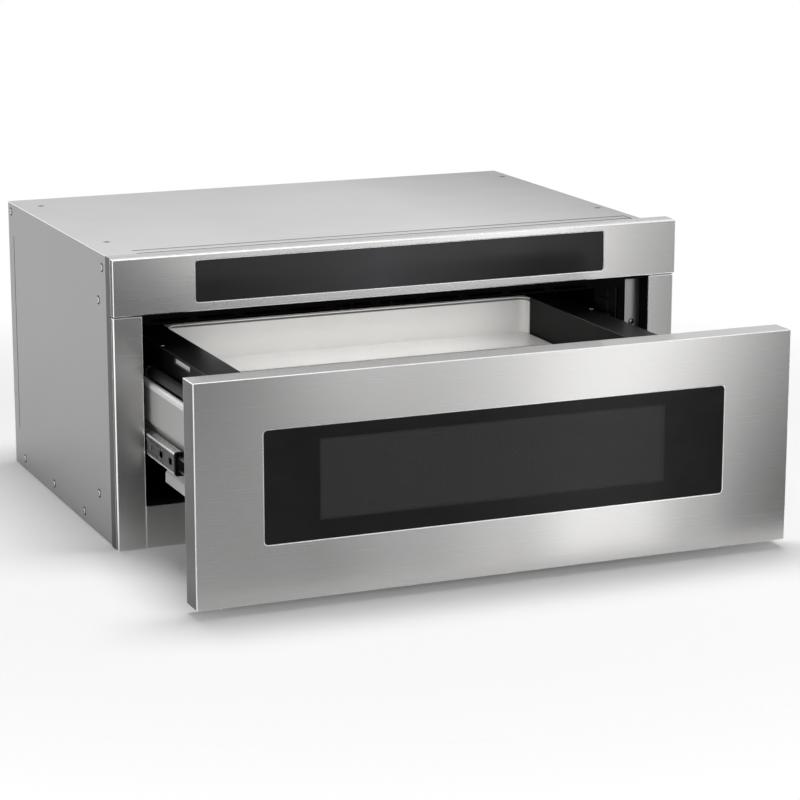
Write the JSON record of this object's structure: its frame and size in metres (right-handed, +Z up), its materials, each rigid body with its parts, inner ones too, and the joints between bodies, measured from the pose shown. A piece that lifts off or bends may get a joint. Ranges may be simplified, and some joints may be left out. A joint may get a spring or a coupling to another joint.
{
  "type": "microwave drawer",
  "caption": "Built-in drawer microwave: wide brushed front with a dark window, light tub on telescopic slides, black touch panel above.",
  "frame": {"origin": "in the base plane, below the middle of the front trim and half way along the depth of the body", "axes": "+X to the right seen from the front, +Y to the back, +Z up; the drawer opens along -Y"},
  "size_m": [0.759, 0.7835, 0.362],
  "materials": {
    "brushed_steel": "horizontal brushed finish",
    "galvanised_sheet": "satin zinc-coated sheet",
    "cover_sheet": "satin light sheet",
    "black_enamel": "satin black",
    "black_glass": "gloss black printed glass",
    "clear_glass": "clear",
    "light_enamel": "light warm grey enamel",
    "bracket_enamel": "light satin enamel",
    "zinc_steel": "bright zinc",
    "dark_rail_steel": "dark zinc",
    "rubber": "matte",
    "circuit_board": "green board",
    "mica_sheet": "matte",
    "copper": "varnished copper",
    "nylon": "matte",
    "motor_paint": "satin",
    "black_plastic": "matte"
  },
  "bodies": {
    "chassis": {"base_pan": "galvanised_sheet", "left_side_panel": "galvanised_sheet", "right_side_panel": "galvanised_sheet", "top_cover": "cover_sheet", "rear_panel": "galvanised_sheet", "front_frame": "galvanised_sheet", "front_bezel": "black_enamel", "air_baffle": "black_enamel", "left_pillar_trim": "brushed_steel", "right_pillar_trim": "brushed_steel", "bottom_trim_strip": "brushed_steel", "control_panel_trim": "brushed_steel", "control_glass": "black_glass", "control_board": "circuit_board", "chamber_wrap": "black_enamel", "chamber_floor": "black_enamel", "chamber_rear_wall": "black_enamel", "stirrer_housing": "galvanised_sheet", "stirrer_cover": "mica_sheet", "stirrer_motor": "zinc_steel", "waveguide": "galvanised_sheet", "magnetron": "zinc_steel", "hv_transformer": "copper", "hv_capacitor": "zinc_steel", "blower_housing": "black_plastic", "blower_motor": "motor_paint", "power_board": "circuit_board", "terminal_block": "black_plastic", "cord_gland": "black_plastic", "cavity_lamp": "zinc_steel", "left_outer_rail": "dark_rail_steel", "right_outer_rail": "dark_rail_steel", "drive_gearmotor": "motor_paint", "left_interlock": "black_plastic", "right_interlock": "black_plastic"},
    "drawer": {"drawer_front_skin": "brushed_steel", "window_glass": "black_glass", "drawer_inner_frame": "black_enamel", "window_screen": "black_enamel", "inner_window": "clear_glass", "drawer_seal": "rubber", "drawer_tub": "light_enamel", "left_side_wall": "black_enamel", "right_side_wall": "black_enamel", "left_rail_bracket": "bracket_enamel", "right_rail_bracket": "bracket_enamel", "left_inner_rail": "dark_rail_steel", "right_inner_rail": "dark_rail_steel", "left_buffer_rod": "rubber", "right_buffer_rod": "rubber", "left_latch_hook": "black_plastic", "right_latch_hook": "black_plastic", "drive_rack": "nylon"},
    "left_slide": {"left_middle_rail": "zinc_steel", "left_rail_bumper": "black_plastic"},
    "right_slide": {"right_middle_rail": "zinc_steel", "right_rail_bumper": "black_plastic"},
    "pinion": {"drive_pinion": "nylon"},
    "fan": {"fan_wheel": "nylon"},
    "stirrer": {"stirrer_blade": "galvanised_sheet"}
  },
  "joints": [
    {"name": "drawer_slide", "type": "slide", "parent": "chassis", "child": "drawer", "axis": [0, -1, 0], "range_m": [-0.258, 0.123]},
    {"name": "left_middle_slide", "type": "slide", "parent": "chassis", "child": "left_slide", "axis": [0, -1, 0], "range_m": [-0.129, 0.0615]},
    {"name": "right_middle_slide", "type": "slide", "parent": "chassis", "child": "right_slide", "axis": [0, -1, 0], "range_m": [-0.129, 0.0615]},
    {"name": "pinion_turn", "type": "hinge", "parent": "chassis", "child": "pinion", "pos_m": [-0.01825, -0.195, 0.052], "axis": [1, 0, 0], "range_deg": [-1057, 505]},
    {"name": "fan_spin", "type": "hinge", "parent": "chassis", "child": "fan", "pos_m": [0.193, 0.2148, 0.1991], "axis": [0, 1, 0], "continuous": true},
    {"name": "stirrer_spin", "type": "hinge", "parent": "chassis", "child": "stirrer", "pos_m": [-0.01825, -0.0247, 0.2935], "axis": [0, 0, 1], "continuous": true}
  ],
  "couplings": [
    {"joint": "left_middle_slide", "follows": "drawer_slide", "ratio": 0.5},
    {"joint": "right_middle_slide", "follows": "drawer_slide", "ratio": 0.5},
    {"joint": "pinion_turn", "follows": "drawer_slide", "rad_per_m": 71.429}
  ]
}
